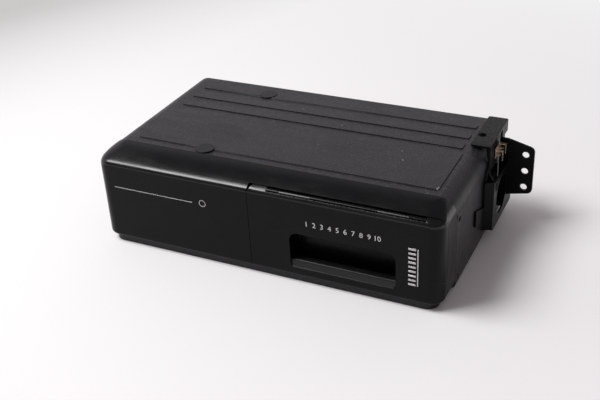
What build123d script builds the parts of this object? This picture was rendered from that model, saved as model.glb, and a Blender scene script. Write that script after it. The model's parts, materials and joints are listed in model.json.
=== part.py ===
"""Car CD changer with a ten-disc magazine behind a top-hinged door, in millimetres.

Row frame: +X to the right seen from the front, -Y towards the front, +Z up.
Origin: middle of the flat underside of the base tray.
"""

import os
from math import acos, cos, degrees, hypot, pi, radians, sin, sqrt, tan

from build123d import *

# ---------------------------------------------------------------- driving dimensions
WIDTH, DEPTH, HEIGHT = 312.0, 176.0, 88.0
SHEET = 1.2  # steel sheet of the case
MOULD = 2.6  # wall of the moulded front
GAP = 0.35  # visible gap at a seam
SIDE_R = 14.0  # shoulder between the top and a side
CORNER_R = 12.0  # front corners in plan
NOSE_R = 5.0  # small radius at the top of the front face
NOSE_Z = 76.5  # height of that radius's centre
SHOULDER_DEG = 25.0  # slope where the nose runs into the top shoulder
FRONT_BOTTOM = 5.5  # lower edge of the moulded front
SIDE_SEAM_Z = 70.0  # seam between the cover and the tray's side walls
TOP_SEAM_Y = -58.0  # seam between the moulded front and the cover, on top
SIDE_SEAM_Y = -50.5  # the same seam on the sides
EMBOSS = 0.8  # height of the raised panels on the cover

DOOR_LEFT = -8.3
DOOR_BACK_Y = -74.0  # where the door ends on the right side, round the corner
DOOR_BOTTOM = 6.2
DOOR_SIDE_TOP = 77.0
DOOR_CORNER_R = 8.0  # upper left corner of the door
HINGE_Y, HINGE_Z = -83.0, 79.3
HINGE_SLOT = (8.0, 142.0)
LEAF_SPANS = ((8.0, 19.0), (46.6, 102.3), (128.7, 142.0))
PIN_R = 1.0
RUNNING = 0.05  # radial clearance of a shaft that turns in a hole
POCKET_X, POCKET_Z = (28.0, 119.0), (15.0, 47.5)

MAG_X, MAG_Y, MAG_Z = (7.0, 149.0), (-65.0, 65.0), (12.0, 72.0)
MAG_WALL = 1.6
TRAY_COUNT, TRAY_PITCH = 10, 5.6
TRAY_X, TRAY_HALF_Y, TRAY_T = (11.0, 145.0), 62.8, 1.6
TRAY_Z = 14.2  # underside of the lowest tray
DISC_R, DISC_T, DISC_HOLE_R = 60.0, 1.2, 7.5
DISC_X = 78.0  # disc centre in the magazine
TRAY_TRAVEL = 139.0
PLAY_X = DISC_X - TRAY_TRAVEL  # disc centre over the turntable

LIFT_TRAVEL = TRAY_PITCH * (TRAY_COUNT - 1)
CAM_SLIDE = 0.6 * LIFT_TRAVEL  # sideways travel of the cam slides
CAM_PIN_Z, CAM_PIN_R = 9.6, 1.4
CAM_PIN_X = (-112.0, -48.0)
GEAR_MODULE, GEAR_TEETH = 1.0, 16
GEAR_R = GEAR_MODULE * GEAR_TEETH / 2
GEAR_X, RACK_Z = -88.0, 62.0

BRACKET_T = 1.6  # steel of the side bracket
BRACKET_X = (156.3, 164.6)  # from the case to the bracket's side plate
EAR_HOLE_R, EAR_HOLE_PITCH = 3.0, 15.6
EAR_Y, EAR_HOLE_X, EAR_HOLE_Z = 70.0, 179.5, 51.7
EAR_END = 187.0
TAB_X, TAB_Y = (141.2, 158.6), (29.0, 87.0)
TAB_HOLE = (145.9, 49.0, 3.5)  # place in X and Y, and radius
PLATE_HOLE = (51.0, 36.0, 17.0)  # place in Y and Z, and radius
PLATE_Y, PLATE_Z = (25.0, 87.0), (12.0, 58.5)
BRACKET_SCREW_Y, BRACKET_SCREW_Z, BRACKET_SCREW_R = (40.0, 52.0), 40.0, 1.5

TRANSPORT_HOLES = ((-67.5, -49.2), (-67.0, 70.0))
DAMPERS = ((-136, -73.6), (-136, 71.6), (136, -73.6), (136, 71.6))


# ---------------------------------------------------------------- helpers
def block(x, y, z):
    """A box between three pairs of places."""
    size = [abs(b - a) for a, b in (x, y, z)]
    centre = [(a + b) / 2 for a, b in (x, y, z)]
    return Pos(*centre) * Box(*size)


def upright(x, y, r, z):
    """A cylinder along Z between two heights."""
    return Pos(x, y, (z[0] + z[1]) / 2) * Cylinder(r, z[1] - z[0])


def along_x(y, z, r, x):
    """A cylinder along X between two places."""
    return Pos((x[0] + x[1]) / 2, y, z) * Rot(0, 90, 0) * Cylinder(r, abs(x[1] - x[0]))


def along_y(x, z, r, y):
    """A cylinder along Y between two places."""
    return Pos(x, (y[0] + y[1]) / 2, z) * Rot(90, 0, 0) * Cylinder(r, abs(y[1] - y[0]))


def side_outline(points, x):
    """A YZ outline drawn through points, extruded between two places in X."""
    face = make_face(Polyline(*points, close=True))
    solid = extrude(Plane.YZ * face, amount=x[1] - x[0])
    return Pos(x[0], 0, 0) * solid


def front_plate(sketch, y):
    """A sketch in X and Z, extruded between two places in Y."""
    solid = extrude(Plane.XZ * sketch, amount=y[1] - y[0])
    return Pos(0, y[1], 0) * solid


def flat_plate(sketch, z):
    """A sketch in X and Y, extruded between two heights."""
    return Pos(0, 0, z[0]) * extrude(sketch, amount=z[1] - z[0])


def rounded(x, y, r):
    """A rounded rectangle between two (low, high) pairs."""
    size = (x[1] - x[0], y[1] - y[0])
    return Pos((x[0] + x[1]) / 2, (y[0] + y[1]) / 2) * RectangleRounded(*size, r)


# ---------------------------------------------------------------- outer form
FRONT = -DEPTH / 2
NOSE_Y = FRONT + NOSE_R
SLOPE = radians(SHOULDER_DEG)
ARC_START = (NOSE_Y - NOSE_R * sin(SLOPE), NOSE_Z + NOSE_R * cos(SLOPE))
ARC_RISE = (TOP_SEAM_Y - ARC_START[0], HEIGHT - ARC_START[1])
ARC_CHORD = hypot(*ARC_RISE)
ARC_HALF = SLOPE - acos(ARC_RISE[0] / ARC_CHORD)
ARC_R = ARC_CHORD / (2 * sin(ARC_HALF))  # large radius of the front shoulder
ARC_C = (ARC_START[0] + ARC_R * sin(SLOPE), ARC_START[1] - ARC_R * cos(SLOPE))
SHOULDER_Z = HEIGHT - SIDE_R
SECTION_Z = (75.2, 76.5, 78, 79.2, 80.2, 81.03, 82, 83, 84, 85, 86, 86.8, 87.5)


def front_y(z, inset):
    """How far forward the case reaches at a height, less a wall thickness."""
    if z <= NOSE_Z:
        return FRONT + inset
    nose, shoulder = NOSE_R - inset, ARC_R - inset
    if z <= NOSE_Z + nose * cos(SLOPE):
        return NOSE_Y - sqrt(nose**2 - (z - NOSE_Z) ** 2)
    return ARC_C[0] - sqrt(max(shoulder**2 - (z - ARC_C[1]) ** 2, 0))


def half_width(z, inset):
    """Half the width of the case at a height, less a wall thickness."""
    if z <= SHOULDER_Z:
        return WIDTH / 2 - inset
    r = SIDE_R - inset
    return WIDTH / 2 - SIDE_R + sqrt(max(r**2 - (z - SHOULDER_Z) ** 2, 0))


def plan_section(z, inset):
    """The case's outline in plan at a height, from the front to behind the seam."""
    f, w = front_y(z, inset), half_width(z, inset)
    c = max(min(CORNER_R - inset, TOP_SEAM_Y + 1 - f), 1.0)
    back = SIDE_SEAM_Y + 4
    left = Line((-w, back), (-w, f + c))
    left_corner = RadiusArc((-w, f + c), (-w + c, f), -c)
    front = Line((-w + c, f), (w - c, f))
    right_corner = RadiusArc((w - c, f), (w, f + c), -c)
    right = Line((w, f + c), (w, back))
    rear = Line((w, back), (-w, back))
    return Pos(0, 0, z) * make_face([left, left_corner, front, right_corner, right, rear])


def front_form(inset, bottom, bottom_r):
    """The solid form of the moulded front, less a wall thickness."""
    top = HEIGHT - inset
    heights = [SHOULDER_Z] + [z for z in SECTION_Z if SHOULDER_Z < z < top - 0.2] + [top]
    shoulder = loft([plan_section(z, inset) for z in heights], ruled=True)
    base = extrude(plan_section(SHOULDER_Z, inset), bottom - SHOULDER_Z)
    if bottom_r:
        rim = base.edges().group_by(Axis.Z)[0].sort_by(Axis.Y)[:-1]
        base = fillet(rim, bottom_r)
    return base + shoulder


def seam_side(y_shift, reach):
    """Everything in front of the seam between the front and the cover, or behind it."""
    far = -120 if reach < 0 else 120
    points = [
        (far, -5),
        (SIDE_SEAM_Y + y_shift, -5),
        (SIDE_SEAM_Y + y_shift, 62),
        (TOP_SEAM_Y + y_shift, HEIGHT),
        (TOP_SEAM_Y + y_shift, 95),
        (far, 95),
    ]
    return side_outline(points, (-170, 170))


def door_region(grow, corner):
    """The space of the door: in front of the hinge, and round the right corner."""
    r = 3.2 + grow
    points = [
        (-100, DOOR_BOTTOM - grow),
        (DOOR_BACK_Y + grow, DOOR_BOTTOM - grow),
        (DOOR_BACK_Y + grow, DOOR_SIDE_TOP + grow),
        (HINGE_Y, DOOR_SIDE_TOP + grow),
        (HINGE_Y, 95),
        (-100, 95),
    ]
    left = DOOR_LEFT - grow
    space = side_outline(points, (left, 165)) + along_x(HINGE_Y, HINGE_Z, r, (left, 165))
    outline = rounded((left, 300), (-60, HINGE_Z + 4.4 + grow), corner)
    return space & front_plate(outline, (-100, -60))


# ---------------------------------------------------------------- case
def front_panel():
    """Moulded front with its left face, shoulder, hinge knuckles and inner bezel."""
    shell = front_form(0, FRONT_BOTTOM, 4) - front_form(MOULD, FRONT_BOTTOM - 1, 0)
    shell = shell & seam_side(-GAP, -1)
    shell -= door_region(GAP, DOOR_CORNER_R - 2)
    slot = (HINGE_SLOT[0] - 0.3, HINGE_SLOT[1] + 0.3)
    shell -= along_x(HINGE_Y, HINGE_Z, 3.8, (DOOR_LEFT - GAP, 157))
    shell -= block(slot, (-100, HINGE_Y + 1.6), (HINGE_Z, 95))
    bezel = rounded((-10, 154), (7.6, 78), 3)
    bezel -= rounded((5.8, 150.6), (10.6, 73.6), 2)
    bezel -= rounded((-6.6, 1.6), (29.4, 43.6), 2)
    shell += front_plate(bezel, (-70.4, -68.6))
    for x in ((LEAF_SPANS[0][1], LEAF_SPANS[1][0]), (LEAF_SPANS[1][1], LEAF_SPANS[2][0])):
        span = (x[0] + 0.3, x[1] - 0.3)
        arm = side_outline([(-82.4, 77.2), (-72.0, 79.0), (-72.0, 83.6), (-82.4, 79.6)], span)
        shell += arm + along_x(HINGE_Y, HINGE_Z, 2.2, span)
        shell -= along_x(HINGE_Y, HINGE_Z, PIN_R + RUNNING, span)
    inner_wall = block((DOOR_LEFT - 2.6, DOOR_LEFT - 0.9), (-86, -68.6), (9, 74))
    return shell + inner_wall


def tray_profile(inset):
    """The base tray's cross-section: flat bottom, rounded bends and side walls."""
    w = WIDTH / 2 - inset
    face = rounded((-w, w), (inset, 200), 5 - inset)
    return face & Pos(0, 35) * Rectangle(400, 70)


def base_chassis():
    """Folded base tray with its side walls, front lip and clip windows."""
    walls = front_plate(tray_profile(0) - tray_profile(SHEET), (SIDE_SEAM_Y, DEPTH / 2))
    walls &= block((-165, 165), (-100, 100), (0, SIDE_SEAM_Z - GAP / 2))
    floor = rounded((-151, 151), (-85, -20), 10)
    floor &= Pos(0, -65) * Rectangle(400, 60)
    lip = floor - offset(floor, -SHEET) - Pos(0, -20) * Rectangle(400, 104)
    tray = walls + flat_plate(floor, (0, SHEET)) + flat_plate(lip, (0, FRONT_BOTTOM + 2))
    tray += block((-151, 151), (-36, SIDE_SEAM_Y), (0, SHEET))
    w = WIDTH / 2 - SHEET
    for side in (-1, 1):
        wall = (side * (w - 2), side * (w + 3))
        tray -= block(wall, (-46.6, -42.4), (60.7, 65))
        tray -= block(wall, (-46, -44), (7, 12))
        tray += block((side * w, side * (w - 1.4)), (-44, 84), (62, 69))
        tray += block((side * (w - 0.3), side * (w - 1.4)), (-44, 84), (69, 72))
    return tray


def top_cover():
    """Pressed cover with raised panels, round shoulders and a stepped rear edge."""
    def dome(inset):
        w = WIDTH / 2 - inset
        form = rounded((-w, w), (-100, HEIGHT - EMBOSS - inset), SIDE_R - inset)
        return front_plate(form, (-70, DEPTH / 2 + 5))

    cover = dome(0) - dome(SHEET)
    cover &= seam_side(0, 1)
    cover &= block((-165, 165), (-100, DEPTH / 2), (SIDE_SEAM_Z + GAP / 2, 95))
    panels = [((-135.6, 139.6), (-49, 16), 2.5)]
    panels += [((-135, 136.5), y, 2.0) for y in ((23.5, 34), (43, 53), (63.5, 72))]
    top = HEIGHT - EMBOSS
    for x, y, r in panels:
        raised = flat_plate(rounded(x, y, r), (top - 0.2, HEIGHT))
        cover += chamfer(raised.faces().sort_by(Axis.Z)[-1].edges(), 0.7)
    for x, y in TRANSPORT_HOLES:
        cover -= upright(x, y, 7.6, (80, 95))
    return cover


def transport_plugs():
    """Two round caps that close the transport-screw holes in the cover."""
    plugs = None
    for x, y in TRANSPORT_HOLES:
        cap = upright(x, y, 8.5, (HEIGHT, HEIGHT + 0.5))
        cap = chamfer(cap.edges().sort_by(Axis.Z)[-1], 0.3)
        plug = cap + upright(x, y, 7.5, (HEIGHT - 3.4, HEIGHT))
        plug -= upright(x, y, 5.8, (HEIGHT - 4, HEIGHT - 1))
        plugs = plug if plugs is None else plugs + plug
    return plugs


def rear_panel():
    """Rear sheet with cut-outs for the sockets and a row of air slots."""
    plate = Pos(0, 43.6) * Rectangle(WIDTH - 3.2, 84.2)
    plate = fillet(plate.vertices().group_by(Axis.Y)[-1], SIDE_R - 1.3)
    plate = fillet(plate.vertices().group_by(Axis.Y)[0], 4.2)
    plate -= Pos(-96, 26) * Circle(8.2)
    plate -= rounded((-64.2, -37.8), (17.8, 34.2), 0.5)
    for k in range(9):
        plate -= Pos(-20 + 12 * k, 58) * Rectangle(2.6, 18)
    for side in (-1, 1):
        plate -= Pos(side * 147, 40) * Circle(1.6)
    return front_plate(plate, (DEPTH / 2 - 3.2, DEPTH / 2 - 2.0))


def rear_sockets():
    """Round multi-pin bus socket and a flat power and audio socket."""
    y = (DEPTH / 2 - 9, DEPTH / 2 - 1.2)
    din = along_y(-96, 26, 8.0, y) - along_y(-96, 26, 6.8, (DEPTH / 2 - 7, 100))
    for k in range(8):
        a = 2 * pi * k / 9 + pi / 2
        din += along_y(-96 + 4.6 * sin(a), 26 + 4.6 * cos(a), 0.6, (DEPTH / 2 - 7.5, DEPTH / 2 - 3))
    flat = block((-63.8, -38.2), y, (18.2, 33.8))
    flat -= block((-62.2, -39.8), (DEPTH / 2 - 7, 100), (19.8, 32.2))
    for k in range(8):
        x = -59.5 + 2.5 * k
        flat += block((x, x + 1), (DEPTH / 2 - 7.5, DEPTH / 2 - 3), (25.5, 26.5))
    return din + flat


# ---------------------------------------------------------------- door and hinge
def pocket_profile(grow):
    """The finger pocket from the side: ramp, lip, deep scoop and rounded back."""
    points = [(-100, 15), (-88, 15), (-80, 21), (-78.6, 20), (-78, 13.5), (-73.6, 13.5)]
    points += [(-71.6, 17.5), (-71.6, 42), (-74.5, 47.5), (-100, 47.5)]
    face = make_face(Polyline(*points, close=True))
    return offset(face, grow) if grow else face


def pocket_form(grow):
    """The solid form of the pocket, grown by its wall."""
    x = (POCKET_X[0] - grow, POCKET_X[1] + grow)
    z = (POCKET_Z[0] - 2 - grow, POCKET_Z[1] + grow)
    side = Pos(x[0], 0, 0) * extrude(Plane.YZ * pocket_profile(grow), amount=x[1] - x[0])
    face = rounded(x, z, 7 + grow)
    return side & front_plate(face, (-100, -60))


def door():
    """Moulded door with its finger pocket, wrapped end and hinge notches."""
    skin = front_form(0, FRONT_BOTTOM, 4) - front_form(MOULD, FRONT_BOTTOM - 1, 0)
    skin &= door_region(0, DOOR_CORNER_R)
    skin += pocket_form(MAG_WALL) & block((0, 153), (-86.5, -60), (0, 70))
    skin -= pocket_form(0)
    skin -= along_x(HINGE_Y, HINGE_Z, 3.4, HINGE_SLOT)
    skin -= block(HINGE_SLOT, (HINGE_Y - 1.4, -70), (HINGE_Z, 95))
    for x in LEAF_SPANS:
        skin -= side_outline(LEAF_OUTLINE, x)
    ribs = [block((x, x + 1.4), (-85.6, -76), (9, 13.2)) for x in (11, 133)]
    for rib in ribs:
        skin += rib
    return skin


LEAF_OUTLINE = [(-83.6, 81.4), (-85.9, 79.6), (-86.5, 76.5), (-86.5, 66)]
LEAF_OUTLINE += [(-85.4, 65), (-83.9, 65), (-81.2, 78)]


def hinge_leaf():
    """Three glossy knuckles with their leaves, which drop into notches in the door."""
    leaf = None
    for x in LEAF_SPANS:
        piece = side_outline(LEAF_OUTLINE, x) + along_x(HINGE_Y, HINGE_Z, 2.5, x)
        piece -= along_x(HINGE_Y, HINGE_Z, PIN_R, x)
        leaf = piece if leaf is None else leaf + piece
    return leaf


def hinge_pin():
    """Steel pin through the door's and the front's knuckles."""
    return along_x(HINGE_Y, HINGE_Z, PIN_R, HINGE_SLOT)


def eject_button():
    """Eject button behind the door: cap, stem and collar."""
    cap = front_plate(rounded((-6, 1), (30, 43), 1.6), (-75, -67.2))
    cap = chamfer(cap.faces().sort_by(Axis.Y)[0].edges(), 0.6)
    cap += block((-7.4, 2.4), (-68.3, -67.5), (28.4, 44.6))
    return cap


# ---------------------------------------------------------------- magazine and trays
def magazine_cage():
    """Folded guide round the magazine, open at the front and towards the player."""
    x = (MAG_X[0] - 1.4, MAG_X[1] + 2.2)
    cage = block(x, (-66, 68), (10.8, 12.0)) + block((x[1] - 1.2, x[1]), (-66, 68), (12, 73.8))
    cage += block(x, (-66, 68), (72.6, 73.8))
    cage += block(x, (66.8, 68), (12, 73.8))
    cage -= upright(DISC_X, 0, 36, (5, 12.5))
    cage -= flat_plate(rounded((27, 129), (-50, 50), 6), (72, 75))
    for y in (-52, 52):
        for x in (19, 141):
            cage += upright(x, y, 3, (5.4, 10.8))
    return cage


def magazine_case():
    """Disc magazine: a shell open towards the player, with ten pairs of guide ribs."""
    outer = block(MAG_X, MAG_Y, MAG_Z)
    outer = fillet(outer.edges().filter_by(Axis.Z).sort_by(Axis.X)[-2:], 5)
    w = MAG_WALL
    y, z = (MAG_Y[0] + w, MAG_Y[1] - w), (MAG_Z[0] + w, MAG_Z[1] - w)
    inner = block((MAG_X[0] - 5, MAG_X[1] - w), y, z)
    inner = fillet(inner.edges().filter_by(Axis.Z).sort_by(Axis.X)[-2:], 5 - w)
    case = outer - inner
    slot = Pos(DISC_X, 0) * Circle(22) + rounded((0, DISC_X), (-22, 22), 1)
    case -= flat_plate(slot, (5, MAG_Z[0] + w + 1))
    for k in range(TRAY_COUNT):
        top = TRAY_Z - 0.1 + k * TRAY_PITCH
        for side in (-1, 1):
            y = sorted((side * (MAG_Y[1] - w), side * 61.0))
            case += block((18, 146), y, (top - 1.3, top))
    grip = rounded((55, 101), (22, 62), 4)
    case += front_plate(grip - offset(grip, -1.4), (MAG_Y[0] - 0.8, MAG_Y[0]))
    return case


def tray(level):
    """A disc tray: a thin plate with a disc recess, a turntable slot and a hook notch."""
    z = TRAY_Z + level * TRAY_PITCH
    plate = rounded(TRAY_X, (-TRAY_HALF_Y, TRAY_HALF_Y), 3)
    plate -= rounded((0, DISC_X), (-22, 22), 1) + Pos(DISC_X, 0) * Circle(22)
    plate -= Pos(15, 64) * Rectangle(5.2, 9.2)
    body = flat_plate(plate, (z, z + TRAY_T))
    return body - upright(DISC_X, 0, DISC_R + 0.6, (z + 0.6, z + 5))


def loaded_disc():
    """The disc that lies in the lowest tray."""
    z = TRAY_Z + 0.6
    ring = Circle(DISC_R) - Circle(DISC_HOLE_R)
    return flat_plate(Pos(DISC_X, 0) * ring, (z, z + DISC_T))


# ---------------------------------------------------------------- lift
def sub_chassis():
    """Floating floor plate that carries the cage, the guides and the lift."""
    plate = rounded((-143, 149), (-78, 76), 10)
    plate -= rounded((-126, -32), (-30, 30), 4)
    plate -= Pos(DISC_X, 0) * Circle(34)
    body = flat_plate(plate, (4.2, 5.4))
    for x, y in DAMPERS:
        body -= upright(x, y, 3.0, (0, 8))
    return body


def dampers():
    """Four rubber dampers between the base tray and the floating plate."""
    group = None
    for x, y in DAMPERS:
        post = upright(x, y, 4, (SHEET, 4.2)) + upright(x, y, 3.0, (4.2, 6.8))
        group = post if group is None else group + post
    return group


def lift_guide(y):
    """Fixed guide plate with two upright slots for the lift's pins."""
    plate = rounded((-143, -36), (5.4, 66), 3)
    for x in CAM_PIN_X:
        slot = SlotCenterToCenter(LIFT_TRAVEL, 2 * CAM_PIN_R + 0.4, rotation=90)
        plate -= Pos(x, CAM_PIN_Z + LIFT_TRAVEL / 2) * slot
    plate -= rounded((-96, -62), (20, 50), 5)
    return front_plate(plate, y)


def cam_slide():
    """Cam slide: two slotted plates joined under the lift, with a rack on the front one."""
    body = None
    length = hypot(CAM_SLIDE, LIFT_TRAVEL)
    tilt = degrees(acos(CAM_SLIDE / length))
    for y in ((-65.6, -64.4), (64.4, 65.6)):
        plate = rounded((-147.6, -42.6), (5.6, RACK_Z), 2)
        for x in CAM_PIN_X:
            slot = SlotCenterToCenter(length, 2 * CAM_PIN_R + 0.4, rotation=180 - tilt)
            plate -= Pos(x - CAM_SLIDE / 2, CAM_PIN_Z + LIFT_TRAVEL / 2) * slot
        piece = front_plate(plate, y)
        body = piece if body is None else body + piece
    body += block((-147.6, -143), (-65, 65), (5.6, 6.6))
    return body + front_plate(rack_outline(), (-65.6, -64.4))


def rack_outline():
    """Straight rack teeth along the top edge of the front cam plate."""
    pitch = pi * GEAR_MODULE
    spare = 3  # teeth past the working ones at each end
    working = round(CAM_SLIDE / pitch)
    tooth = Pos(0, RACK_Z + 0.9) * Trapezoid(2.1, 2.2, 73.5)
    teeth = None
    for k in range(-working - spare, spare):
        place = Pos(GEAR_X + k * pitch, 0) * tooth
        teeth = place if teeth is None else teeth + place
    return teeth


def gear_outline(teeth, module, bore):
    """A spur gear with involute flanks and some backlash."""
    pitch_r = teeth * module / 2
    base_r = pitch_r * cos(radians(20))
    root_r, tip_r = pitch_r - 1.15 * module, pitch_r + 0.9 * module
    half = pi / (2 * teeth) - 0.16 * module / pitch_r
    inv_pitch = tan(radians(20)) - radians(20)
    face = Circle(root_r)
    for k in range(teeth):
        mid = 2 * pi * (k + 0.5) / teeth - pi / 2
        flank = []
        for r in (root_r - 0.3, base_r + 0.02, pitch_r, tip_r):
            a = acos(min(base_r / r, 1))
            spread = half + inv_pitch - (tan(a) - a)
            flank.append((r, spread))
        left = [(r * cos(mid - s), r * sin(mid - s)) for r, s in flank]
        right = [(r * cos(mid + s), r * sin(mid + s)) for r, s in reversed(flank)]
        face += make_face(Polyline(*left, *right, close=True))
    return face - Circle(bore)


GEAR_Z = RACK_Z + 1.0 + GEAR_R


def lift_gear():
    """Gear that drives the cam slide's rack, with its shaft."""
    body = front_plate(Pos(GEAR_X, GEAR_Z) * gear_outline(GEAR_TEETH, GEAR_MODULE, 1.0), (-66.0, -64.0))
    return body + along_y(GEAR_X, GEAR_Z, 1.0, (-78, -63.6))


def lift_motor():
    """Geared motor for the lift, on the front guide plate."""
    can = along_y(GEAR_X, GEAR_Z, 8, (-80.5, -69))
    can += along_y(GEAR_X, GEAR_Z, 4, (-69, -67.4))
    return can - along_y(GEAR_X, GEAR_Z, 1.0 + RUNNING, (-79, -60))


def lift_frame():
    """Lifting table with upturned edges, guide pins and the clamp arm's posts."""
    plate = rounded((-138, 3), (-63.4, 63.4), 3)
    plate -= rounded((-128, -30), (-34, 34), 5)
    body = flat_plate(plate, (6.9, 8.1))
    for side in (-1, 1):
        edge = sorted((side * 62.2, side * 63.4))
        body += block((-138, 3), edge, (8.1, 12.6))
        for x in CAM_PIN_X:
            pin = sorted((side * 63.0, side * 68.4))
            body += along_y(x, CAM_PIN_Z, CAM_PIN_R, pin)
        post = sorted((side * 20, side * 22))
        body += block((-137, -131.6), post, (8.1, 24))
        body -= along_y(-133.5, 21.2, 1.2, (-30, 30))
        body += block((-131.5, -127.5), (side * 30.6, side * 34.4), (6.9, 12.6))
        body -= along_y(-129.5, 10.0, 1.2, (-40, 40))
    return body


def clamp_arm():
    """Arm with the disc clamp, hinged at the lift's left end."""
    arm = rounded((-137, -48), (-19.4, 19.4), 4) - rounded((-120, -80), (-9, 9), 4)
    body = flat_plate(arm, (20.6, 21.8))
    body += along_y(-133.5, 21.2, 1.15, (-22, 22))
    return body - upright(PLAY_X, 0, 4.05, (15, 30))


def disc_clamp():
    """Turned clamp that presses the disc onto the turntable."""
    body = upright(PLAY_X, 0, 14, (19.1, 20.5)) + upright(PLAY_X, 0, 4.0, (20.5, 23))
    body += upright(PLAY_X, 0, 6.0, (22.0, 23.2))
    return body


# ---------------------------------------------------------------- player
ROD_X, ROD_Y, ROD_Z = (-130.0, -77.0), 19.0, 11.6


def player_base():
    """Tilting base of the player with its rod mounts and pivot ears."""
    plate = rounded((-131, -36), (-30, 30), 3)
    plate -= rounded((-127.4, -80), (-24, 24), 2)
    plate -= Pos(PLAY_X, 0) * Circle(4)
    body = flat_plate(plate, (9.4, 10.4))
    body += along_y(-129.5, 10.0, 1.15, (-32.4, 32.4))
    for y in (-ROD_Y, ROD_Y):
        for x in ROD_X[0], ROD_X[1] - 2.5:
            body += block((x, x + 2.5), (y - 2.5, y + 2.5), (10.4, 13.4))
        body -= along_x(y, ROD_Z, 1.5, ROD_X)
    return body


def guide_rods():
    """Two rods for the optical pickup."""
    rods = [along_x(y, ROD_Z, 1.5, ROD_X) for y in (-ROD_Y, ROD_Y)]
    return rods[0] + rods[1]


def pickup():
    """Optical pickup: sled, lens dome and its rod sleeves."""
    body = flat_plate(rounded((-96, -83), (-14.5, 14.5), 2), (8.4, 12.4))
    for side in (-1, 1):
        body += block((-95, -84), (side * (ROD_Y - 4.6), side * (ROD_Y + 2.4)), (9.8, 13.4))
        body -= along_x(side * ROD_Y, ROD_Z, 1.5 + RUNNING, (-100, -80))
    return body + upright(-88, 0, 3.4, (12.4, 13.5))


def turntable():
    """Turntable with its rubber face and centring cone."""
    profile = [(0, 11), (15, 11), (15, 13.3), (7.2, 13.3), (6.4, 13.7), (0, 13.7)]
    face = make_face(Polyline(*profile, close=True))
    top = Pos(PLAY_X, 0, 0) * revolve(Plane.XZ * face, Axis.Z)
    return top + upright(PLAY_X, 0, 1.0, (6, 11))


def spindle_motor():
    """Flat motor under the turntable."""
    can = upright(PLAY_X, 0, 11, (3.4, 9.4)) + upright(PLAY_X, 0, 3.6, (9.4, 10.6))
    return can - upright(PLAY_X, 0, 1.0 + RUNNING, (5.5, 12))


# ---------------------------------------------------------------- electronics
def main_board():
    """Circuit board behind the mechanism."""
    board = front_plate(rounded((-140, 120), (9, 64), 2), (77.4, 79.0))
    return board


def board_parts():
    """Chips, a connector and capacitors on the circuit board."""
    parts = None
    chips = [(-110, 44, 24, 12), (-60, 48, 16, 16), (-10, 30, 20, 10)]
    chips += [(40, 44, 14, 14), (84, 28, 26, 8)]
    for x, z, w, h in chips:
        chip = block((x, x + w), (75.4, 77.4), (z - h / 2, z + h / 2))
        parts = chip if parts is None else parts + chip
    for k in range(3):
        parts += along_y(-26 + 14 * k, 54, 4, (70, 77.4))
    return parts


# ---------------------------------------------------------------- side bracket
def bracket_plate():
    """The bracket's side plate with its round hole and a relief slot by the front bend."""
    y, z, r = PLATE_HOLE
    plate = rounded(PLATE_Y, PLATE_Z, 3) - Pos(y, z) * Circle(r)
    plate -= Pos(PLATE_Y[0] + 7, PLATE_Z[1] - 6.5) * SlotOverall(9, 2.2, rotation=90)
    solid = extrude(Plane.YZ * plate, amount=BRACKET_T)
    return Pos(BRACKET_X[1] - BRACKET_T, 0, 0) * solid


def bracket_ear():
    """The ear across the bracket's rear, with three holes in a column."""
    inner, bend = BRACKET_X[0] + 0.3, BRACKET_X[1] - BRACKET_T / 2
    points = [(inner, 13), (bend, 13), (bend, 26), (EAR_END, 31), (EAR_END, 74.4)]
    points += [(bend, 80.6), (inner, 80.6)]
    ear = make_face(Polyline(*points, close=True))
    ear = fillet(ear.vertices().sort_by(Axis.X)[-2:], 5)
    for k in (-1, 0, 1):
        ear -= Pos(EAR_HOLE_X, EAR_HOLE_Z + k * EAR_HOLE_PITCH) * Circle(EAR_HOLE_R)
    return front_plate(ear, (EAR_Y - BRACKET_T, EAR_Y))


def bracket_front():
    """The bracket's backing on the case, its slanted front wall and the strap to the tab."""
    t, (x0, x1), y = BRACKET_T, BRACKET_X, TAB_Y[0]
    top = HEIGHT + 0.6 + t
    backing = [(-3, 31), (-3, 46), (20.5, 37), (20.5, 60), (y, 73), (y + 2, 73)]
    backing += [(y + 2, 60), (60, 60), (60, 20), (y, 18), (20.5, 18)]
    wall = [(x0, 20.5), (x1, PLATE_Y[0]), (x1, PLATE_Y[0] + t), (x1 - t, PLATE_Y[0] + t), (x0, 22.4)]
    strap = [(x0, 50), (x1, 50), (x1, PLATE_Z[1] - 4), (TAB_X[1], 66)]
    strap += [(TAB_X[1], top), (x0 - 2, top), (x0, 80)]
    body = side_outline(backing, (x0, x0 + t))
    body += flat_plate(make_face(Polyline(*wall, close=True)), (14, 60))
    return body + front_plate(make_face(Polyline(*strap, close=True)), (y, y + t))


def side_bracket():
    """Bent steel bracket on the right: top tab, front, side plate and rear ear."""
    t, x0 = BRACKET_T, BRACKET_X[0]
    x, y, r = TAB_HOLE
    bottom, top = HEIGHT + 0.6, HEIGHT + 0.6 + t
    tab = rounded(TAB_X, TAB_Y, 2) - Pos(x, y) * Circle(r)
    body = bracket_plate() + bracket_ear() + bracket_front() + flat_plate(tab, (bottom, top))
    body += block((TAB_X[1] - t, TAB_X[1]), (EAR_Y - t, TAB_Y[1] - 1), (80, top))
    for y in BRACKET_SCREW_Y:
        body -= along_x(y, BRACKET_SCREW_Z, BRACKET_SCREW_R, (x0, x0 + t))
    return body


def spring_clips():
    """Brass strip on the ear with two sprung fingers that bend down at their tips."""
    clips = block((157.0, 157.6), (52, EAR_Y - BRACKET_T), (68, 77))
    for y, top in ((54, 74.6), (63.6, 77.0)):
        clips += block((157.0, 163.0), (y, y + 3), (top - 0.6, top))
        clips += block((162.4, 163.0), (y + 0.5, y + 2.5), (top - 9, top))
        clips += block((157.0, 161.0), (y, y + 3), (top - 4.6, top - 4.0))
    return clips


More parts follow.
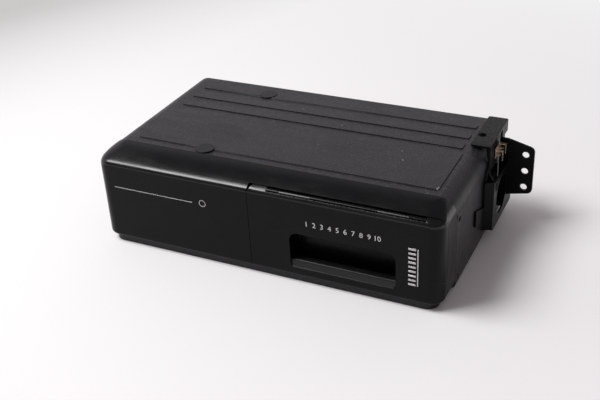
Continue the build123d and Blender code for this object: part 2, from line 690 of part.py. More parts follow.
def bracket_screws():
    """Two screws that hold the bracket on the case's side."""
    group = None
    face = BRACKET_X[0] + BRACKET_T
    for y in BRACKET_SCREW_Y:
        screw = along_x(y, BRACKET_SCREW_Z, 2 * BRACKET_SCREW_R, (face, 160))
        screw += along_x(y, BRACKET_SCREW_Z, BRACKET_SCREW_R, (BRACKET_X[0], face))
        group = screw if group is None else group + screw
    return group


def case_screws():
    """Two pan-head screws in the rear panel."""
    group = None
    for side in (-1, 1):
        y = DEPTH / 2 - 2.0
        head = along_y(side * 147, 40, 3, (y, y + 1.8)) + along_y(side * 147, 40, 1.6, (y - 6, y))
        group = head if group is None else group + head
    return group


PIECES = {
    "front_panel": front_panel,
    "base_chassis": base_chassis,
    "top_cover": top_cover,
    "transport_plugs": transport_plugs,
    "rear_panel": rear_panel,
    "rear_sockets": rear_sockets,
    "case_screws": case_screws,
    "door": door,
    "hinge_leaf": hinge_leaf,
    "hinge_pin": hinge_pin,
    "eject_button": eject_button,
    "magazine_cage": magazine_cage,
    "magazine_case": magazine_case,
    "loaded_disc": loaded_disc,
    "sub_chassis": sub_chassis,
    "dampers": dampers,
    "lift_guide_front": lambda: lift_guide((-67.2, -66.2)),
    "lift_guide_rear": lambda: lift_guide((66.2, 67.2)),
    "cam_slide": cam_slide,
    "lift_gear": lift_gear,
    "lift_motor": lift_motor,
    "lift_frame": lift_frame,
    "clamp_arm": clamp_arm,
    "disc_clamp": disc_clamp,
    "player_base": player_base,
    "guide_rods": guide_rods,
    "pickup": pickup,
    "turntable": turntable,
    "spindle_motor": spindle_motor,
    "main_board": main_board,
    "board_parts": board_parts,
    "side_bracket": side_bracket,
    "bracket_screws": bracket_screws,
    "spring_clips": spring_clips,
}
for number in range(TRAY_COUNT):
    PIECES[f"tray_{number + 1}"] = lambda level=number: tray(level)

os.makedirs("parts", exist_ok=True)
for name, make in PIECES.items():
    export_step(Part() + make(), f"parts/{name}.step")
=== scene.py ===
"""Looks of the car CD changer: finishes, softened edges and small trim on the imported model."""

import json
from math import cos, radians, sin

import bmesh
import bpy
from mathutils import Matrix, Vector


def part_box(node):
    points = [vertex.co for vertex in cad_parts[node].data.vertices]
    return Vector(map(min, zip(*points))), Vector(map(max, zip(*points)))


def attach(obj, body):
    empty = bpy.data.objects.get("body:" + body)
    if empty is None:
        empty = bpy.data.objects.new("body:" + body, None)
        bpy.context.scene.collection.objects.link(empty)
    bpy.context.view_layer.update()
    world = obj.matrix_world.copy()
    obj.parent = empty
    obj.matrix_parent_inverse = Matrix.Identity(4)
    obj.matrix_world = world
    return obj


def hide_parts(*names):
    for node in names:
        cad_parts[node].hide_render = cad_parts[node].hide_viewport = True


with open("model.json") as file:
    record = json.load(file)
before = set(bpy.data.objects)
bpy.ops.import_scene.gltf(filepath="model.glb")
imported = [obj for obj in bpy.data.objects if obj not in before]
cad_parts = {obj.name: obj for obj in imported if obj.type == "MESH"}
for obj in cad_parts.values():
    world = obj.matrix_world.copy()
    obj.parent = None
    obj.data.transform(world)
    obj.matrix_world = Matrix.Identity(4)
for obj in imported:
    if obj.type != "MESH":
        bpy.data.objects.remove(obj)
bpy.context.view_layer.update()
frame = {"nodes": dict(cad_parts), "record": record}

MM = 0.001
BODY_OF = {
    node: body
    for body, nodes in frame["record"]["behaviour"]["bodies"].items()
    for node in nodes
}
SLOT_OF = {row["node"]: row["material_slot"] for row in frame["record"]["subparts"]}

# Places on the front and the cover, in the CAD's own millimetres.
FRONT_Y = -88.0
NUMBER_ROW = ((44.0, 104.0), 58.4, 6.4)  # x of the first and last, z, height of the numerals
PINSTRIPE = ((-139.0, -61.0), 56.9, 0.45)  # x, lower edge, height
RING_MARK = ((-51.2, 58.0), 3.1, 0.45)  # middle in x and z, outer radius, width
NUMBERS_LIFT, NUMBERS_THICK, MARKS_THICK, INSET = 0.05, 0.04, 0.08, 0.02
ACCENT_RAIL = ((136.6, 137.6), (22.5, 56.5), 0.7)  # x, z, how far it stands out
ACCENT_BARS = ((129.4, 135.6), 1.7, 9)  # x, height of one, how many
ACCENT_ROOT, ACCENT_ROUND = 0.3, 0.25
POCKET_LIP = ((28.1, 118.9), (-88.0, -79.0), (15.1, 21.3))  # x, y, z
LIP_SETBACK, LIP_LEAN, LIP_CORNER, LIP_CREST = 0.35, 1.9, 4.5, 0.7
COVER_TOP = 88.0
RAISED_PANELS = (((-135.6, 139.6), (-49.0, 16.0)), ((-135.0, 136.5), (23.5, 34.0)),
                 ((-135.0, 136.5), (43.0, 53.0)), ((-135.0, 136.5), (63.5, 72.0)))
PANEL_DRAFT = 0.7  # run of a raised panel's sloping side in the CAD
PRESSED_SIDE = 0.5  # how far the panels' top edges move out
COVER_CHIPS = (((138.3, -48.2), 0.9), ((138.6, -45.6), 0.55), ((91.2, 2.4), 0.45),
               ((97.4, -12.3), 0.55), ((92.7, -6.6), 0.35), ((80.9, -3.2), 0.3),
               ((24.9, 31.0), 0.5), ((-22.0, 50.5), 0.45))  # middle in x and y, radius
CHIP_LIFT = 0.03


# ---------------------------------------------------------------- shader helpers
class Shader:
    """Adds nodes to a node tree and links them by name."""

    def __init__(self, tree):
        self.tree = tree

    def add(self, kind, values=(), **settings):
        node = self.tree.nodes.new(kind)
        for key, value in settings.items():
            setattr(node, key, value)
        for key, value in dict(values).items():
            if isinstance(value, bpy.types.NodeSocket):
                self.tree.links.new(value, node.inputs[key])
            else:
                node.inputs[key].default_value = value
        return node

    def math(self, operation, a, b=0.0, clamp=False):
        node = self.add("ShaderNodeMath", {0: a, 1: b}, operation=operation, use_clamp=clamp)
        return node.outputs[0]

    def remap(self, value, low, high, to_low=0.0, to_high=1.0):
        values = {0: value, 1: low, 2: high, 3: to_low, 4: to_high}
        return self.add("ShaderNodeMapRange", values).outputs[0]

    def mix(self, factor, a, b):
        node = self.add("ShaderNodeMix", {"Factor": factor}, data_type="RGBA")
        for socket, value in ((node.inputs[6], a), (node.inputs[7], b)):
            if isinstance(value, bpy.types.NodeSocket):
                self.tree.links.new(value, socket)
            else:
                socket.default_value = (*value, 1.0)
        return node.outputs[2]

    def noise(self, where, scale, detail=3.0, roughness=0.55):
        values = {"Vector": where, "Scale": scale, "Detail": detail, "Roughness": roughness}
        return self.add("ShaderNodeTexNoise", values).outputs["Fac"]

    def stretched(self, where, scale):
        return self.add("ShaderNodeMapping", {"Vector": where, "Scale": scale}).outputs[0]


def effect(name, inputs, outputs, build):
    """A shader node group with named inputs and outputs, built once."""
    tree = bpy.data.node_groups.new(name, "ShaderNodeTree")
    for socket, value in inputs.items():
        made = tree.interface.new_socket(socket, in_out="INPUT", socket_type="NodeSocketFloat")
        made.default_value = value
    for socket in outputs:
        tree.interface.new_socket(socket, in_out="OUTPUT", socket_type="NodeSocketFloat")
    shader = Shader(tree)
    given = shader.add("NodeGroupInput")
    place = shader.add("ShaderNodeTexCoord").outputs["Object"]
    results = build(shader, place, given.outputs)
    end = shader.add("NodeGroupOutput")
    for socket, value in results.items():
        tree.links.new(value, end.inputs[socket])
    return tree


def object_place(s):
    """The X, Y and Z of the object's own coordinates."""
    place = s.add("ShaderNodeTexCoord").outputs["Object"]
    return s.add("ShaderNodeSeparateXYZ", {"Vector": place}).outputs


def facing_up(s):
    """How far the surface looks up: the normal's Z."""
    normal = s.add("ShaderNodeNewGeometry").outputs["Normal"]
    return s.add("ShaderNodeSeparateXYZ", {"Vector": normal}).outputs["Z"]


def build_grain(s, place, given):
    """Moulded or sprayed grain: a fine height with a slower unevenness."""
    fine = s.add("ShaderNodeTexVoronoi", {"Vector": place, "Scale": given["Scale"]})
    slow = s.noise(place, 60.0, 2.0)
    height = s.math("ADD", s.math("MULTIPLY", fine.outputs["Distance"], 0.6), slow)
    return {"Height": height, "Slow": slow}


def build_chips(s, place, given):
    """Tiny light chips and specks, sparse and uneven."""
    cells = s.add("ShaderNodeTexVoronoi", {"Vector": place, "Scale": given["Scale"]})
    core = s.math("MULTIPLY", given["Size"], 0.6)
    spot = s.remap(cells.outputs["Distance"], given["Size"], core)
    rare = s.add("ShaderNodeSeparateColor", {"Color": cells.outputs["Color"]}).outputs[0]
    kept = s.math("GREATER_THAN", rare, s.math("SUBTRACT", 1.0, given["Share"]))
    ragged = s.remap(s.noise(place, 2600.0, 2.0), 0.42, 0.55)
    return {"Mask": s.math("MULTIPLY", s.math("MULTIPLY", spot, kept), ragged)}


def build_handling(s, place, given):
    """Faint wipe marks and dust that dull the surface, more on faces that look up."""
    facing = s.remap(facing_up(s), 0.3, 1.0)
    wipes = s.noise(s.stretched(place, (9.0, 42.0, 20.0)), 3.0, 4.0, 0.6)
    patches = s.noise(place, 14.0, 3.0)
    marks = s.remap(s.math("MULTIPLY", wipes, patches), 0.2, 0.42)
    dust = s.math("MULTIPLY", facing, s.remap(s.noise(place, 900.0, 2.0), 0.56, 0.72))
    return {"Marks": marks, "Dust": s.math("MULTIPLY", dust, given["Amount"])}


def build_brushed(s, place, given):
    """Rolled or brushed streaks along X, for sheet and turned steel."""
    streaks = s.noise(s.stretched(place, (12.0, 700.0, 700.0)), 1.0, 3.0)
    blotches = s.noise(place, given["Scale"], 3.0)
    return {"Streaks": streaks, "Blotches": blotches}


GRAIN = effect("surface_grain", {"Scale": 2400.0}, ["Height", "Slow"], build_grain)
CHIP_SIZES = {"Scale": 120.0, "Size": 0.05, "Share": 0.05}
CHIPS = effect("paint_chips", CHIP_SIZES, ["Mask"], build_chips)
HANDLING = effect("handling_marks", {"Amount": 0.5}, ["Marks", "Dust"], build_handling)
BRUSHED = effect("brushed_streaks", {"Scale": 30.0}, ["Streaks", "Blotches"], build_brushed)


def new_finish(name):
    """An empty node material: its shader builder and its Principled node."""
    finish = bpy.data.materials.new(name)
    finish.use_nodes = True
    shader = Shader(finish.node_tree)
    principled = finish.node_tree.nodes["Principled BSDF"]
    return finish, shader, principled


def use_group(shader, tree, **values):
    """Places an effect group in a material."""
    return shader.add("ShaderNodeGroup", values, node_tree=tree).outputs


def feed(shader, principled, **sockets):
    """Links or sets the Principled sockets, named with underscores for spaces."""
    for key, value in sockets.items():
        socket = principled.inputs[key.replace("_", " ")]
        if isinstance(value, bpy.types.NodeSocket):
            shader.tree.links.new(value, socket)
        else:
            socket.default_value = value


def relief(shader, principled, height, strength, distance):
    """A Bump node that feeds the Principled normal."""
    values = {"Height": height, "Strength": strength, "Distance": distance}
    bump = shader.add("ShaderNodeBump", values)
    shader.tree.links.new(bump.outputs[0], principled.inputs["Normal"])


MOULDING_DUST, PAINT_DUST, GLOSS_DUST = (0.30, 0.29, 0.28), (0.34, 0.33, 0.32), (0.25, 0.25, 0.24)
PRIMER = (0.62, 0.61, 0.60)
NOSE_START = (0.050, 0.056)  # heights in metres between which the front's painted highlight gloss sets in


def lighter(colour, factor):
    return tuple(min(1.0, c * factor) for c in colour)


# ---------------------------------------------------------------- finishes
def moulded_plastic(name, colour, roughness, grain=2600.0, depth=0.05, specular=0.5, dust=0.06):
    """Satin moulded plastic with a fine grain, slight unevenness and handling marks."""
    finish, s, p = new_finish(name)
    texture = use_group(s, GRAIN, Scale=grain)
    touched = use_group(s, HANDLING, Amount=dust)
    patch = s.remap(texture["Slow"], 0.35, 0.65)
    tone = s.mix(patch, lighter(colour, 0.85), lighter(colour, 1.15))
    dusty = s.mix(s.math("MULTIPLY", touched["Dust"], 0.35), tone, MOULDING_DUST)
    rough = s.remap(touched["Marks"], 0.0, 1.0, roughness - 0.05, roughness + 0.08)
    feed(s, p, Base_Color=dusty, Roughness=rough, Specular_IOR_Level=specular)
    relief(s, p, texture["Height"], depth, 0.0004)
    return finish


def highlight_gloss_moulding(name, colour, roughness, face_gloss, nose_gloss):
    """The front's moulding, with more gloss over its nose, set to match the photograph's highlight.

    It links the specular level, which the export drops, so the exported front lacks it.
    """
    finish = moulded_plastic(name, colour, roughness, dust=0.02)
    s, p = Shader(finish.node_tree), finish.node_tree.nodes["Principled BSDF"]
    up = facing_up(s)
    high = object_place(s)["Z"]
    # A painted highlight in the gloss: the specular level is raised where the nose turns over,
    # chosen by facing and height.
    turned = s.math("MULTIPLY", s.remap(up, 0.05, 0.25), s.remap(up, 0.93, 0.80, 0.5, 1.0))
    nose = s.math("MULTIPLY", turned, s.remap(high, *NOSE_START))
    feed(s, p, Specular_IOR_Level=s.remap(nose, 0.0, 1.0, face_gloss, nose_gloss))
    return finish


def baked_paint(name, colour, roughness, chip_share=0.04, grain=1500.0, specular=0.5):
    """Matte baked paint on steel: orange peel, fine dust and a few light chips."""
    finish, s, p = new_finish(name)
    texture = use_group(s, GRAIN, Scale=grain)
    touched = use_group(s, HANDLING, Amount=0.7)
    chips = use_group(s, CHIPS, Scale=95.0, Size=0.052, Share=chip_share)
    patch = s.remap(texture["Slow"], 0.3, 0.7)
    tone = s.mix(patch, lighter(colour, 0.9), lighter(colour, 1.12))
    dusty = s.mix(s.math("MULTIPLY", touched["Dust"], 0.3), tone, PAINT_DUST)
    chipped = s.mix(chips["Mask"], dusty, PRIMER)
    rough = s.remap(touched["Marks"], 0.0, 1.0, roughness - 0.04, roughness + 0.07)
    feed(s, p, Base_Color=chipped, Roughness=rough, Specular_IOR_Level=specular)
    relief(s, p, texture["Height"], 0.10, 0.0005)
    return finish


def glossy_black():
    """Polished black of the hinge, with faint wipe marks in the gloss."""
    finish, s, p = new_finish("glossy_black")
    touched = use_group(s, HANDLING, Amount=0.3)
    dust = s.math("MULTIPLY", touched["Dust"], 0.08)
    tone = s.mix(dust, (0.0025, 0.0025, 0.0027), GLOSS_DUST)
    rough = s.remap(touched["Marks"], 0.0, 1.0, 0.16, 0.26)
    feed(s, p, Base_Color=tone, Roughness=rough, Specular_IOR_Level=0.12)
    return finish


def bare_metal(name, colour, roughness, scale=30.0, metallic=1.0):
    """Zinc-plated, turned or drawn metal with streaks and blotches."""
    finish, s, p = new_finish(name)
    texture = use_group(s, BRUSHED, Scale=scale)
    patch = s.remap(texture["Blotches"], 0.3, 0.7)
    tone = s.mix(patch, lighter(colour, 0.82), lighter(colour, 1.1))
    rough = s.remap(texture["Streaks"], 0.3, 0.7, roughness - 0.08, roughness + 0.12)
    feed(s, p, Base_Color=tone, Roughness=rough, Metallic=metallic)
    relief(s, p, texture["Streaks"], 0.08, 0.0002)
    return finish


def mirror_disc():
    """Data side of a disc: a mirror with a faint painted rainbow sheen in circular bands and four
    sweeps around, and a greyer hub.
    """
    finish, s, p = new_finish("mirror_disc")
    low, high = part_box("loaded_disc")
    centre = (low + high) / 2
    place = s.add("ShaderNodeTexCoord").outputs["Object"]
    moved = s.add("ShaderNodeMapping", {"Vector": place, "Location": tuple(-centre)}).outputs[0]
    radius = s.add("ShaderNodeVectorMath", {0: moved}, operation="LENGTH").outputs["Value"]
    parts = s.add("ShaderNodeSeparateXYZ", {"Vector": moved})
    angle = s.math("ARCTAN2", parts.outputs["Y"], parts.outputs["X"])
    # Painted sheen: the rainbow is set in the base colour in four fixed sweeps around the disc.
    sheen_sweep = s.remap(s.math("SINE", s.math("MULTIPLY", angle, 4.0)), 0.55, 1.0)
    hue = s.math("FRACT", s.math("MULTIPLY", radius, 28.0))
    painted_rainbow_sheen = s.add("ShaderNodeCombineColor", {0: hue, 1: 0.5, 2: 0.85}, mode="HSV").outputs[0]
    hub = s.math("LESS_THAN", radius, 0.0225)
    silver = s.mix(s.math("MULTIPLY", sheen_sweep, 0.5), (0.80, 0.80, 0.82), painted_rainbow_sheen)
    feed(s, p, Base_Color=s.mix(hub, silver, (0.55, 0.56, 0.58)), Roughness=0.12, Metallic=0.95)
    return finish


def circuit_board():
    """Green solder resist over faint copper tracks."""
    finish, s, p = new_finish("circuit_board")
    place = s.add("ShaderNodeTexCoord").outputs["Object"]
    cells = s.add("ShaderNodeTexBrick", {"Vector": place, "Scale": 240.0})
    tracks = s.math("MULTIPLY", cells.outputs["Fac"], 0.6)
    tone = s.mix(tracks, (0.02, 0.10, 0.045), (0.05, 0.20, 0.08))
    feed(s, p, Base_Color=tone, Roughness=0.32, Coat_Weight=0.3)
    relief(s, p, tracks, 0.1, 0.0002)
    return finish


def screen_print():
    """Slightly uneven white screen print."""
    finish, s, p = new_finish("screen_print")
    texture = use_group(s, GRAIN, Scale=3000.0)
    tone = s.mix(s.remap(texture["Slow"], 0.3, 0.7), (0.60, 0.60, 0.61), (0.74, 0.74, 0.75))
    feed(s, p, Base_Color=tone, Roughness=0.5)
    relief(s, p, texture["Height"], 0.05, 0.0003)
    return finish


FINISHES = {
    "front_moulding": highlight_gloss_moulding(
        "front_moulding", (0.0036, 0.0034, 0.0040), 0.25, face_gloss=0.12, nose_gloss=0.52),
    "gloss_black": glossy_black(),
    "bright_steel": bare_metal("bright_steel", (0.66, 0.66, 0.67), 0.22),
    "black_paint": baked_paint("black_paint", (0.0178, 0.0170, 0.0200), 0.42, specular=0.24),
    "cap_plastic": moulded_plastic("cap_plastic", (0.009, 0.009, 0.010), 0.40, specular=0.2),
    "screw_steel": bare_metal("screw_steel", (0.09, 0.09, 0.095), 0.35, 80.0),
    "button_plastic": moulded_plastic("button_plastic", (0.05, 0.05, 0.052), 0.4),
    "zinc_sheet": bare_metal("zinc_sheet", (0.55, 0.56, 0.56), 0.36),
    "magazine_plastic": moulded_plastic("magazine_plastic", (0.028, 0.028, 0.03), 0.42),
    "tray_plastic": moulded_plastic("tray_plastic", (0.075, 0.075, 0.08), 0.45),
    "disc_silver": mirror_disc(),
    "damper_rubber": moulded_plastic("damper_rubber", (0.02, 0.02, 0.02), 0.7, 900.0, 0.2),
    "gear_plastic": moulded_plastic("gear_plastic", (0.66, 0.64, 0.58), 0.4, dust=0.1),
    "motor_steel": bare_metal("motor_steel", (0.58, 0.58, 0.57), 0.3, 60.0),
    "pickup_plastic": moulded_plastic("pickup_plastic", (0.03, 0.03, 0.034), 0.45),
    "board_green": circuit_board(),
    "chip_plastic": moulded_plastic("chip_plastic", (0.018, 0.018, 0.018), 0.5, 1800.0, 0.12),
    "bracket_paint": baked_paint(
        "bracket_paint", (0.0020, 0.0020, 0.0022), 0.42, chip_share=0.08, specular=0.16),
    "spring_brass": bare_metal("spring_brass", (0.90, 0.72, 0.55), 0.34, 90.0, 0.7),
}
LIP_PLASTIC = moulded_plastic("lip_plastic", (0.010, 0.0095, 0.0105), 0.36, specular=0.42)
CHIPPED = moulded_plastic("chipped_primer", (0.55, 0.54, 0.52), 0.6, specular=0.3)
SATIN_METAL = bare_metal("satin_metal", (0.56, 0.56, 0.56), 0.3, 50.0)
PRINT = screen_print()


# ---------------------------------------------------------------- mesh helpers
def piece_from(bm, name, finish, body, smooth=40.0):
    """Makes a bmesh a finished piece that rides on a body."""
    bmesh.ops.recalc_face_normals(bm, faces=bm.faces)
    mesh = bpy.data.meshes.new(name)
    bm.to_mesh(mesh)
    bm.free()
    for face in mesh.polygons:
        face.use_smooth = True
    mesh.set_sharp_from_angle(angle=radians(smooth))
    mesh.materials.append(finish)
    piece = bpy.data.objects.new(name, mesh)
    bpy.context.scene.collection.objects.link(piece)
    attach(piece, body)
    return piece


def steepen_panels(bm):
    """Widens the raised panels' top faces, so that their pressed sides stand steeper."""
    for (x0, x1), (y0, y1) in RAISED_PANELS:
        centre = Vector(((x0 + x1) / 2, (y0 + y1) / 2, 0)) * MM
        verts = [v for v in bm.verts if abs(v.co.z - COVER_TOP * MM) < 1e-5
                 and abs(v.co.x - centre.x) < (x1 - x0) / 2 * MM
                 and abs(v.co.y - centre.y) < (y1 - y0) / 2 * MM]
        tops = (x1 - x0 - 2 * PANEL_DRAFT, y1 - y0 - 2 * PANEL_DRAFT)
        wider = [(size + 2 * PRESSED_SIDE) / size for size in tops]
        bmesh.ops.scale(bm, vec=(*wider, 1.0), space=Matrix.Translation(-centre), verts=verts)


def softened(node, width=0.3, angle=35.0, segments=2, reshape=None):
    """A merged copy of a CAD node with rounded edges and smooth shading, in its place."""
    bm = bmesh.new()
    bm.from_mesh(frame["nodes"][node].data)
    bmesh.ops.remove_doubles(bm, verts=bm.verts, dist=2e-6)
    if reshape:
        reshape(bm)
    bmesh.ops.dissolve_limit(bm, angle_limit=radians(0.6), verts=bm.verts, edges=bm.edges)
    mesh = bpy.data.meshes.new(node + "_skin")
    bm.to_mesh(mesh)
    bm.free()
    for face in mesh.polygons:
        face.use_smooth = True
    mesh.set_sharp_from_angle(angle=radians(angle))
    mesh.materials.append(FINISHES[SLOT_OF[node]])
    piece = bpy.data.objects.new(node + "_skin", mesh)
    bpy.context.scene.collection.objects.link(piece)
    bevel = piece.modifiers.new("soft_edges", "BEVEL")
    bevel.width = width * MM
    bevel.segments = segments
    bevel.limit_method = "ANGLE"
    bevel.angle_limit = radians(angle)
    bevel.miter_outer = "MITER_ARC"
    bevel.use_clamp_overlap = True
    even = piece.modifiers.new("even_shading", "WEIGHTED_NORMAL")
    even.keep_sharp = True
    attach(piece, BODY_OF[node])
    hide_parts(node)
    return piece


def on_front(x, z, lift=0.0):
    """The turn and move that stand a flat figure on the front face."""
    place = Vector((x, FRONT_Y - lift, z)) * MM
    return Matrix.Translation(place) @ Matrix.Rotation(radians(90), 4, "X")


def text_mesh(words, size, x, z):
    """Flat numerals on the front face, as a mesh."""
    curve = bpy.data.curves.new(words, "FONT")
    curve.body = words
    curve.size = size * MM
    curve.align_x = "CENTER"
    curve.align_y = "CENTER"
    holder = bpy.data.objects.new(words, curve)
    bpy.context.scene.collection.objects.link(holder)
    bpy.context.view_layer.update()
    shown = holder.evaluated_get(bpy.context.evaluated_depsgraph_get())
    mesh = bpy.data.meshes.new_from_object(shown)
    bpy.data.objects.remove(holder)
    mesh.transform(on_front(x, z, NUMBERS_LIFT))
    return mesh


def slab(bm, low, high):
    """A box between two corners in millimetres, added to a bmesh; returns its vertices."""
    made = bmesh.ops.create_cube(bm, size=1.0)["verts"]
    low, high = Vector(low) * MM, Vector(high) * MM
    bmesh.ops.scale(bm, vec=high - low, verts=made)
    bmesh.ops.translate(bm, vec=(low + high) / 2, verts=made)
    return made


def round_edges(bm, edges, width, segments):
    """Rounds the given edges of a bmesh by a width in millimetres."""
    bmesh.ops.bevel(bm, geom=edges, offset=width * MM, segments=segments, profile=0.5,
                    affect="EDGES", material=-1)


def thicken(bm, faces, depth):
    """Gives flat faces on the front a thickness towards the viewer."""
    lifted = bmesh.ops.extrude_face_region(bm, geom=faces)
    moved = [v for v in lifted["geom"] if isinstance(v, bmesh.types.BMVert)]
    bmesh.ops.translate(bm, vec=(0, -depth * MM, 0), verts=moved)


# ---------------------------------------------------------------- front trim
def slot_numbers():
    """Plain numbers 1 to 10 over the pocket."""
    (left, right), z, size = NUMBER_ROW
    bm = bmesh.new()
    for k in range(10):
        bm.from_mesh(text_mesh(str(k + 1), size, left + (right - left) * k / 9, z))
    thicken(bm, bm.faces[:], NUMBERS_THICK)
    piece_from(bm, "slot_numbers", PRINT, "door", 30)


def left_marks():
    """A pinstripe and a ring on the left of the front."""
    bm = bmesh.new()
    (x0, x1), z, tall = PINSTRIPE
    slab(bm, (x0, FRONT_Y - MARKS_THICK, z), (x1, FRONT_Y + INSET, z + tall))
    (x, z), r, wide = RING_MARK
    rims = []
    for radius in (r, r - wide):
        made = bmesh.ops.create_circle(bm, segments=48, radius=radius * MM, matrix=on_front(x, z))
        rims += list({e for v in made["verts"] for e in v.link_edges})
    ring = bmesh.ops.bridge_loops(bm, edges=rims)
    thicken(bm, ring["faces"], MARKS_THICK)
    piece_from(bm, "left_marks", PRINT, "case", 30)


def accent_bars():
    """A thin satin rail with nine short bars beside it, on the door's right."""
    (x0, x1), (z0, z1), proud = ACCENT_RAIL
    near, root = FRONT_Y - proud, FRONT_Y + ACCENT_ROOT
    bm = bmesh.new()
    slab(bm, (x0, near, z0), (x1, root, z1))
    (x0, x1), tall, count = ACCENT_BARS
    for k in range(count):
        z = z0 + (z1 - z0 - tall) * k / (count - 1)
        slab(bm, (x0, near, z), (x1, root, z + tall))
    rim = [e for e in bm.edges if all(v.co.y < (FRONT_Y - proud / 2) * MM for v in e.verts)]
    round_edges(bm, rim, ACCENT_ROUND, 3)
    piece_from(bm, "accent_bars", SATIN_METAL, "door")


def pocket_lip():
    """The rounded lip along the bottom of the door's finger pocket."""
    (x0, x1), (y0, y1), (z0, z1) = POCKET_LIP
    bm = bmesh.new()
    verts = slab(bm, (x0, y0 + LIP_SETBACK, z0), (x1, y1, z1))
    top = [v for v in verts if v.co.z > z1 * MM - 1e-6 and v.co.y < (y0 + 1) * MM]
    bmesh.ops.translate(bm, vec=(0, LIP_LEAN * MM, 0), verts=top)
    ends = [e for e in bm.edges if all(v.co.z < (z0 + 0.1) * MM for v in e.verts)
            and abs(e.verts[0].co.y - e.verts[1].co.y) > 2 * MM]
    round_edges(bm, ends, LIP_CORNER, 8)
    crest = [e for e in bm.edges if all(v.co.z > z1 * MM - 1e-6 for v in e.verts)
             and abs(e.verts[0].co.x - e.verts[1].co.x) > 50 * MM]
    round_edges(bm, crest, LIP_CREST, 4)
    piece_from(bm, "pocket_lip", LIP_PLASTIC, "door", 45)


def paint_chips():
    """Small light chips in the cover's paint, at the places the photograph shows."""
    bm = bmesh.new()
    for k, ((x, y), r) in enumerate(COVER_CHIPS):
        place = Matrix.Translation(Vector((x, y, COVER_TOP + CHIP_LIFT)) * MM)
        turn = Matrix.Rotation(k * 1.3, 4, "Z")
        stretch = Matrix.Diagonal((1.0, 0.55 + 0.1 * (k % 4), 1.0, 1.0))
        matrix = place @ turn @ stretch
        bmesh.ops.create_circle(bm, cap_ends=True, segments=7, radius=r * MM, matrix=matrix)
    piece_from(bm, "paint_chips", CHIPPED, "case")


# ---------------------------------------------------------------- dress the model
for name, node_object in frame["nodes"].items():
    node_object.data.materials.clear()
    node_object.data.materials.append(FINISHES[SLOT_OF[name]])

SOFT_EDGES = {  # node, edge rounding in millimetres
    "front_panel": 0.25, "door": 0.35, "top_cover": 0.2, "base_chassis": 0.25,
    "rear_panel": 0.2, "side_bracket": 0.3, "hinge_leaf": 0.25, "transport_plugs": 0.2,
    "eject_button": 0.2, "magazine_case": 0.3, "rear_sockets": 0.2, "lift_motor": 0.3,
    "case_screws": 0.25, "bracket_screws": 0.25,
}
for name, width in SOFT_EDGES.items():
    softened(name, width, reshape=steepen_panels if name == "top_cover" else None)
slot_numbers()
left_marks()
accent_bars()
pocket_lip()
paint_chips()


# ---------------------------------------------------------------- studio
WALL_HEIGHT = (0.30, 0.75)  # sine of the elevation where the bright wall fades out
WALL_TURN = (0.1, 0.85)  # how far a way points to the rear left where the wall fades in
WALL_LEVEL, ROOM_LEVEL = 0.70, 0.18
GLOW_FROM = (0.28, 0.75)  # distance in metres over which the floor starts to glow
CORNER_FADE = (0.42, 0.80)  # metres towards the rear left over which the floor's glow is painted grey, as painted shade where the light falls off
# The corner colour is painted shade: the grey that the floor's glow turns to at the rear left,
# where the light falls off.
FLOOR_GLOW, CORNER_SHADE_GLOW = (0.89, 0.885, 0.89), (0.60, 0.585, 0.58)
SHADOW_FILL = (0.065, 0.038, 0.042)  # warm light that only the diffuse bounces meet


def studio_floor():
    """A wide pale floor that keeps the object's shadow, its glow painted grey towards the rear left
    as shade.
    """
    bm = bmesh.new()
    bmesh.ops.create_grid(bm, x_segments=1, y_segments=1, size=6.0)
    mesh = bpy.data.meshes.new("studio_floor")
    bm.to_mesh(mesh)
    bm.free()
    floor = bpy.data.objects.new("studio_floor", mesh)
    bpy.context.scene.collection.objects.link(floor)
    finish, s, p = new_finish("pale_paper")
    feed(s, p, Base_Color=(0.97, 0.965, 0.97, 1.0), Roughness=0.9, Specular_IOR_Level=0.1)
    place = object_place(s)
    x, y = place["X"], place["Y"]
    reach = s.math("SQRT", s.math("ADD", s.math("MULTIPLY", x, x), s.math("MULTIPLY", y, y)))
    away = s.remap(reach, *GLOW_FROM)
    to_corner = s.math("SUBTRACT", s.math("MULTIPLY", y, 0.3), x)
    # Painted shade: the glow greys towards the rear left corner.
    glow_with_corner_shade = s.mix(s.remap(to_corner, *CORNER_FADE), FLOOR_GLOW, CORNER_SHADE_GLOW)
    glow = s.add("ShaderNodeEmission", {"Color": glow_with_corner_shade}).outputs[0]
    share = s.math("MULTIPLY", away, seen_rays(s))
    blend = s.add("ShaderNodeMixShader", {0: share, 1: p.outputs[0], 2: glow})
    s.tree.links.new(blend.outputs[0], s.tree.nodes["Material Output"].inputs["Surface"])
    mesh.materials.append(finish)


def seen_rays(s):
    """One for rays that show the surroundings: camera, mirror and glass rays."""
    path = s.add("ShaderNodeLightPath").outputs
    glossy = s.math("MAXIMUM", path["Is Glossy Ray"], path["Is Transmission Ray"])
    return s.math("MAXIMUM", path["Is Camera Ray"], glossy)


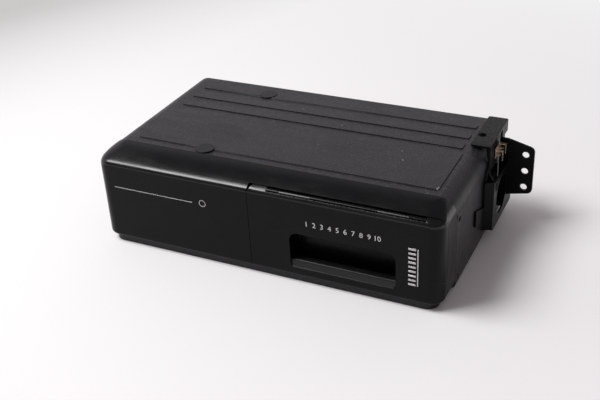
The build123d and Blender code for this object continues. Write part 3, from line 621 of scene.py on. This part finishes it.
def studio_world():
    """Soft surround: a bright wall low at the rear left, dim overhead and in front."""
    world = bpy.data.worlds.new("studio")
    world.use_nodes = True
    bpy.context.scene.world = world
    s = Shader(world.node_tree)
    way = s.add("ShaderNodeTexCoord").outputs["Generated"]
    parts = s.add("ShaderNodeSeparateXYZ", {"Vector": way}).outputs
    wall = s.remap(parts["Z"], *WALL_HEIGHT, 1.0, 0.0)
    rear_left = s.math("SUBTRACT", parts["Y"], s.math("MULTIPLY", parts["X"], 1.2))
    shape = s.math("MULTIPLY", wall, s.remap(rear_left, *WALL_TURN))
    level = s.math("ADD", s.math("MULTIPLY", shape, WALL_LEVEL), ROOM_LEVEL)
    green = s.math("MULTIPLY", level, 0.96)
    mirrored = s.add("ShaderNodeCombineColor", {0: level, 1: green, 2: level})
    fill = [s.math("ADD", level, extra) for extra in SHADOW_FILL]
    lit = s.add("ShaderNodeCombineColor", {0: fill[0], 1: fill[1], 2: fill[2]})
    path = s.add("ShaderNodeLightPath").outputs
    reached = s.mix(path["Is Diffuse Ray"], mirrored.outputs[0], lit.outputs[0])
    shown = s.mix(path["Is Camera Ray"], reached, (0.9, 0.9, 0.9))
    background = world.node_tree.nodes["Background"]
    world.node_tree.links.new(shown, background.inputs["Color"])
    background.inputs["Strength"].default_value = 1.0


def lamp(name, place, target, size, power):
    """A soft rectangular lamp aimed at a point."""
    data = bpy.data.lights.new(name, "AREA")
    data.shape = "RECTANGLE"
    data.size, data.size_y = size
    data.energy = power
    holder = bpy.data.objects.new(name, data)
    holder.location = place
    holder.rotation_euler = (Vector(target) - Vector(place)).to_track_quat("-Z", "Y").to_euler()
    bpy.context.scene.collection.objects.link(holder)


CAMERA_TURN = (26.822, 30.074, -3.208)  # azimuth, elevation and roll in degrees
CAMERA_PLACE = (0.33070, -0.66339, 0.45326)
FOCAL_PIXELS, PHOTO_WIDTH, SENSOR_MM = 954.33, 600, 36.0


def photo_camera():
    """The camera at the photograph's place, turned by the measured angles."""
    azimuth, elevation, roll = (radians(angle) for angle in CAMERA_TURN)
    level = cos(elevation)
    back = Vector((sin(azimuth) * level, -cos(azimuth) * level, sin(elevation)))
    right = (-back).cross(Vector((0, 0, 1))).normalized()
    up = right.cross(-back)
    right_r = right * cos(roll) + up * sin(roll)
    up_r = up * cos(roll) - right * sin(roll)
    data = bpy.data.cameras.new("photo_camera")
    data.sensor_width = SENSOR_MM
    data.lens = FOCAL_PIXELS / PHOTO_WIDTH * SENSOR_MM
    holder = bpy.data.objects.new("photo_camera", data)
    turn = Matrix((right_r, up_r, back)).transposed().to_4x4()
    holder.matrix_world = Matrix.Translation(CAMERA_PLACE) @ turn
    bpy.context.scene.collection.objects.link(holder)
    bpy.context.scene.camera = holder


studio_floor()
studio_world()
lamp("key_box", (-1.17, -0.58, 2.06), (0, 0, 0.05), (1.15, 1.15), 49)
photo_camera()
bpy.context.scene.view_settings.view_transform = "Standard"
